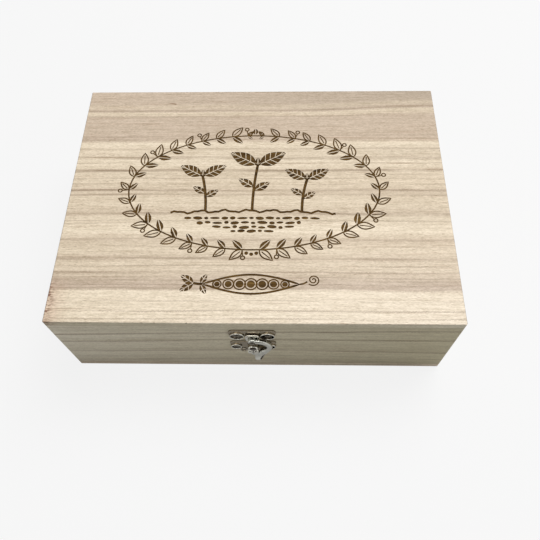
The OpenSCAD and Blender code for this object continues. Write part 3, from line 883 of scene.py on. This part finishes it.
def upper_plate(material):
    """A plate with a scalloped lower edge and the tongue that carries the hook."""
    shape = bmesh.new()
    x, z, radius = upper_cup
    left = arc((-12.6, 14.8), 3, 90, 180) + arc((-12.6, 12.8), 3, 180, 218.5, 6)
    left += arc((-x, z), radius, 165.8, 361.15, 36)
    slab(shape, mirrored(left), 0, plate_depth, 0.3)
    slab(shape, rounded_rectangle((0, 8.1), 9.4, 9.8, 2.4), 0.4, 2.6, 0.6, 5)
    for side in (-1, 1):
        cup(shape, side, upper_cup)
    latch_piece(shape, "pressed_upper_plate", "latch_plate", "lid", material)


def lower_plate(material):
    """A plate with five scallops below, and the beak with two lobes that the hook catches."""
    shape = bmesh.new()
    x, z, radius = lower_cup
    pip_x, pip_z, pip_radius = pip_cup
    left = arc((-13.2, -3.7), 2.4, 90, 180) + arc((-13.2, -4.5), 2.4, 180, 235.3, 6)
    left += arc((-x, z), radius, 139.6, 305.05, 28)
    left += arc((-pip_x, pip_z), pip_radius + 0.5, 125.05, 329.2, 28)
    left += arc((0, -18.8), 3.4, 164, 268, 16)
    slab(shape, mirrored(left), 0, plate_depth, 0.3)
    slab(shape, rounded_rectangle((0, -7), 7.5, 9, 3.3), 0.4, 5.1, 1.4, 6)
    for side in (-1, 1):
        slab(shape, rounded_rectangle((side * 1.9, -9.2), 3.8, 4.8, 1.6), 0.4, 5.9, 1.3, 6)
        cup(shape, side, lower_cup)
        cup(shape, side, pip_cup, 0.6)
    latch_piece(shape, "pressed_lower_plate", "keeper_plate", "box", material)


def rivet_bore(material):
    """The cutter for the hole that the hook turns on."""
    shape = bmesh.new()
    circle = arc((latch_x, seam_z + rivet_z), rivet_hole, 0, 345, 23)
    drawn_out(shape, [(x, wood_front, z) for x, z in circle], (0, -8, 0))
    bmesh.ops.recalc_face_normals(shape, faces=shape.faces)
    bmesh.ops.scale(shape, verts=shape.verts, vec=(MM, MM, MM))
    cutter = mesh_of("rivet_bore", shape)
    paint(cutter, material)
    return cutter


def curl_tab(mesh):
    """Bends the hook away from the wood below its jaw, in even cuts."""
    shape = bmesh.new()
    shape.from_mesh(mesh)
    bmesh.ops.scale(shape, verts=shape.verts, vec=(1 / MM, 1 / MM, 1 / MM))
    start = seam_z + rivet_z + curl_start
    for step in range(curl_cuts):
        bmesh.ops.bisect_plane(
            shape, geom=shape.verts[:] + shape.edges[:] + shape.faces[:], dist=0.0001,
            plane_co=(0, 0, start - step), plane_no=(0, 0, 1),
        )
    for vertex in shape.verts:
        drop = max(start - vertex.co.z, 0)
        radius = curl_radius + hook_front - wood_front + vertex.co.y
        vertex.co.y -= radius - math.sqrt(radius * radius - drop * drop)
    bmesh.ops.scale(shape, verts=shape.verts, vec=(MM, MM, MM))
    shape.to_mesh(mesh)
    shape.free()


def swing_hook(material):
    """Eye, bow, jaw and tab in one outline round the rivet."""
    rivet = (0, 0)
    bow = (1.8, -9.45)
    outline = arc(rivet, 3, 40.3, 319.1, 44) + arc(bow, 7.5, 86.4, -68.1, 30)
    outline += [(4.6, -17.6)] + arc(rivet, 19.15, -76.1, -90.6, 6)
    outline += arc((0.4, -21.05), 2, 110, 273.5, 20) + arc((2.3, -27.55), 1.6, 176, 270, 10)
    outline += arc((4.3, -27.55), 1.6, 270, 335.4, 8) + arc(bow, 11.4, -24.6, 87.5, 36)
    shape = bmesh.new()
    slab(shape, outline, hook_back, hook_front, 1.1, 6)
    bmesh.ops.translate(shape, verts=shape.verts, vec=(0, 0, rivet_z))
    piece = latch_piece(shape, "swing_hook", "latch_hook", "hook", material)
    carve(piece, rivet_bore(material))
    curl_tab(piece.data)


# Screws

# The drive cut into a head, in millimetres: crossed or single bars
cross_drive = {"bars": 2, "length": 2.4, "depth": 0.6}
slot_drive = {"bars": 1, "length": 2.2, "depth": 0.35}
bar_width = 0.5


def solids_of(mesh):
    """The vertex positions of each separate solid in a mesh without doubles, from left to right."""
    shape = bmesh.new()
    shape.from_mesh(mesh)
    found = set()
    solids = []
    for first in shape.verts:
        if first in found:
            continue
        found.add(first)
        solid = [first]
        for vertex in solid:
            for edge in vertex.link_edges:
                near = edge.other_vert(vertex)
                if near not in found:
                    found.add(near)
                    solid.append(near)
        solids.append([vertex.co.copy() for vertex in solid])
    shape.free()
    return sorted(solids, key=lambda solid: min(point.x for point in solid))


def driven_screws(name, body, towards, drive, material):
    """A copy of a group of screws with a slot or a cross cut into each head."""
    screws = new_piece("driven_" + name, welded(name, 0.002))
    cutters = bmesh.new()
    towards = Vector(towards)
    upright = towards.to_track_quat("Z", "Y").to_matrix()
    for number, solid in enumerate(solids_of(screws.data)):
        height = max(point.dot(towards) for point in solid)
        middle = Vector([(max(axis) + min(axis)) / 2 for axis in zip(*solid)])
        top = middle + towards * (height - middle.dot(towards))
        for bar in range(drive["bars"]):
            turn = Matrix.Rotation(math.radians(25 + 90 * bar + 70 * number), 3, "Z")
            made = bmesh.ops.create_cube(cutters, size=MM)["verts"]
            bmesh.ops.scale(cutters, verts=made, vec=(drive["length"], bar_width, 2 * drive["depth"]))
            bmesh.ops.rotate(cutters, verts=made, cent=(0, 0, 0), matrix=turn)
            bmesh.ops.rotate(cutters, verts=made, cent=(0, 0, 0), matrix=upright)
            bmesh.ops.translate(cutters, verts=made, vec=top)
    carve(screws, mesh_of("drive_cutters", cutters))
    paint(screws.data, material)
    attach(screws, body)
    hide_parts(name)


# The scene

make_camera()
add_floor()
add_card("dark_card", (0, -1.15, 0.56), (2.6, 1.1), 0)
add_card("bright_card", (-0.3, -0.55, 1.2), (1.1, 0.7), 2.5)
Sky(ambient=0.18)
add_lamp("key_lamp", (0.7, 0.8, 1.8), 1.4, 40)
add_lamp("fill_lamp", (1.2, -1.4, 1.2), 1.2, 6)

# Hands rub the plates bright where they stand 1.1 to 1.7 mm off the wood; nearer the wood the flat sheet
# keeps a dull brown, which is tarnish and a painted reflection of dark brown surroundings
rub_and_reflection_range = (wood_front - 1.1, wood_front - 1.7)
plate_nickel = metal("nickel_plates", (232, 230, 220), (142, 130, 110), 0.13, 0.02, rub_and_reflection_range, plate_grime_and_shade)
hook_nickel = metal("nickel_hook", (206, 206, 198), (176, 172, 160), 0.12, 0.02, grime_and_shade_spots=hook_grime_and_shadow)
screw_steel = metal("steel_screws", (120, 114, 103), (62, 56, 47), 0.2, 0.03)
hinge_steel = metal("steel_hinges", (178, 174, 166), (140, 134, 124), 0.3, 0.03)
front_wood_shade_tinted = front_board_wood_shade_tinted()
back_wood = plain_board_wood("wood_back", "X", 74)
side_wood = plain_board_wood("wood_sides", "Y", 31)
floor_wood = plain_board_wood("wood_bottom", "X", 142)
inner_wood = plain_board_wood("wood_long_divider", "X", 9)
inner_cross_wood = plain_board_wood("wood_cross_dividers", "Y", 118)

wood_of = {
    "lid_front_rail": front_wood_shade_tinted,
    "base_front_wall": front_wood_shade_tinted,
    "lid_back_rail": back_wood,
    "base_back_wall": back_wood,
    "lid_left_rail": side_wood,
    "lid_right_rail": side_wood,
    "base_left_wall": side_wood,
    "base_right_wall": side_wood,
    "base_bottom_panel": floor_wood,
    "long_divider": inner_wood,
    "cross_divider_left": inner_cross_wood,
    "cross_divider_right": inner_cross_wood,
}
screw_groups = {
    "latch_plate_screws": ("lid", (0, -1, 0), cross_drive),
    "keeper_plate_screws": ("box", (0, -1, 0), cross_drive),
    "hinge_base_screws": ("box", (0, 0, 1), slot_drive),
    "hinge_lid_screws": ("lid", (0, 0, -1), slot_drive),
}

engraved_panel(top_panel_wood(), scorched())
upper_plate(plate_nickel)
lower_plate(plate_nickel)
swing_hook(hook_nickel)
for name, (body, towards, drive) in screw_groups.items():
    driven_screws(name, body, towards, drive, screw_steel)
remade = {"lid_top_panel", "latch_plate", "keeper_plate", "latch_hook", *screw_groups}
for name, node in nodes.items():
    if name in wood_of:
        paint(node.data, wood_of[name])
        ease_edges(node, 0.3, 2)
    elif name not in remade:
        paint(node.data, screw_steel if name == "latch_rivet" else hinge_steel)
        ease_edges(node, 0.2, 3)

bpy.context.scene.view_settings.view_transform = "Standard"
